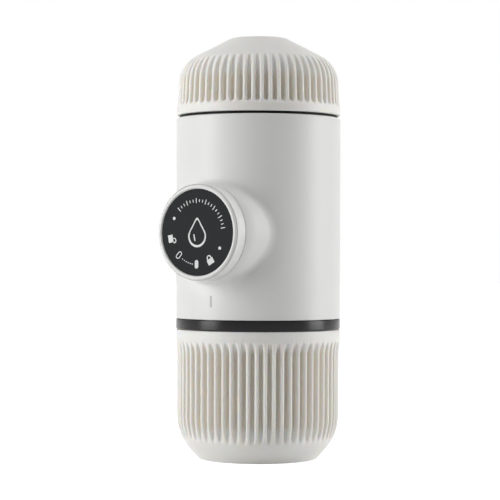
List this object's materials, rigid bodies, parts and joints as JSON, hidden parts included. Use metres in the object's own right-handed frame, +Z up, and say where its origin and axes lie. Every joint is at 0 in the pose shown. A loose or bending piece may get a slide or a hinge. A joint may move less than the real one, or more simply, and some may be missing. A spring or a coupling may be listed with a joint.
{
  "type": "handheld manual espresso maker",
  "caption": "Upright hand-pumped coffee maker: ribbed water tank, white body with a bayonet side pump knob, and a ribbed cup that caps the brew group.",
  "frame": {"origin": "centre of the tank's base, on the body's axis", "axes": "+Z up through the body, the pump knob points along -Y"},
  "size_m": [0.061, 0.07, 0.156],
  "materials": {
    "white_shell": "satin white moulded plastic, fine texture",
    "white_ribbed": "satin off-white moulded plastic",
    "knob_white": "satin white moulded plastic",
    "label_charcoal": "matt charcoal inlay with white marks",
    "black_plastic": "satin black moulded plastic",
    "clear_grey_liner": "smoky clear plastic",
    "frame_plastic": "glass filled dark grey plastic",
    "valve_plastic": "natural acetal",
    "steel": "turned stainless steel",
    "spring_steel": "drawn spring wire",
    "zinc_steel": "zinc plated",
    "silicone": "food grade silicone",
    "black_rubber": "black rubber"
  },
  "bodies": {
    "main_body": {"body_shell": "white_shell", "band_collar": "black_plastic", "tank_seal": "silicone", "bulkhead": "frame_plastic", "vent_valve": "silicone", "inlet_strainer": "steel", "bulkhead_screws": "zinc_steel", "inner_frame": "frame_plastic", "guide_sleeve": "black_plastic", "pump_barrel": "steel", "return_spring": "spring_steel", "valve_block": "valve_plastic", "inlet_tube": "steel", "outlet_tube": "steel", "group_head": "frame_plastic", "shower_screen": "steel", "group_gasket": "silicone"},
    "plunger": {"piston_rod": "steel", "piston_head": "valve_plastic", "piston_ring": "black_rubber"},
    "knob": {"knob": "knob_white", "knob_label": "label_charcoal"},
    "inlet_valve": {"inlet_ball": "steel"},
    "outlet_valve": {"outlet_ball": "steel"},
    "neck_ring": {"neck_ring": "black_rubber"},
    "tank": {"tank_sleeve": "white_ribbed", "tank_liner": "clear_grey_liner"},
    "basket": {"filter_basket": "steel"},
    "filter_holder": {"portafilter": "black_plastic", "spout_valve": "silicone", "spout": "steel", "cup_ring": "black_rubber"},
    "cup": {"cup": "white_ribbed"}
  },
  "joints": [
    {"name": "pump_stroke", "type": "slide", "parent": "main_body", "child": "plunger", "axis": [0, -1, 0], "range_m": [0, 0.024]},
    {"name": "knob_turn", "type": "hinge", "parent": "plunger", "child": "knob", "pos_m": [0, -0.0395, 0.0835], "axis": [0, -1, 0], "range_deg": [0, 45]},
    {"name": "inlet_valve_lift", "type": "slide", "parent": "main_body", "child": "inlet_valve", "axis": [0, 0, 1], "range_m": [0, 0.001]},
    {"name": "outlet_valve_lift", "type": "slide", "parent": "main_body", "child": "outlet_valve", "axis": [0, 0, 1], "range_m": [0, 0.001]},
    {"name": "tank_travel", "type": "slide", "parent": "main_body", "child": "neck_ring", "axis": [0, 0, -1], "range_m": [0, 0.0091]},
    {"name": "tank_turn", "type": "hinge", "parent": "neck_ring", "child": "tank", "pos_m": [0, 0, 0], "axis": [0, 0, 1], "range_deg": [0, 540]},
    {"name": "filter_holder_travel", "type": "slide", "parent": "main_body", "child": "basket", "axis": [0, 0, 1], "range_m": [0, 0.0121]},
    {"name": "filter_holder_turn", "type": "hinge", "parent": "basket", "child": "filter_holder", "pos_m": [0, 0, 0.1267], "axis": [0, 0, 1], "range_deg": [0, 540]},
    {"name": "cup_lift", "type": "slide", "parent": "filter_holder", "child": "cup", "axis": [0, 0, 1], "range_m": [0, 0.03]}
  ],
  "couplings": [
    {"joint": "tank_travel", "follows": "tank_turn", "m_per_rad": 0.00095493},
    {"joint": "filter_holder_travel", "follows": "filter_holder_turn", "m_per_rad": 0.0012732}
  ]
}
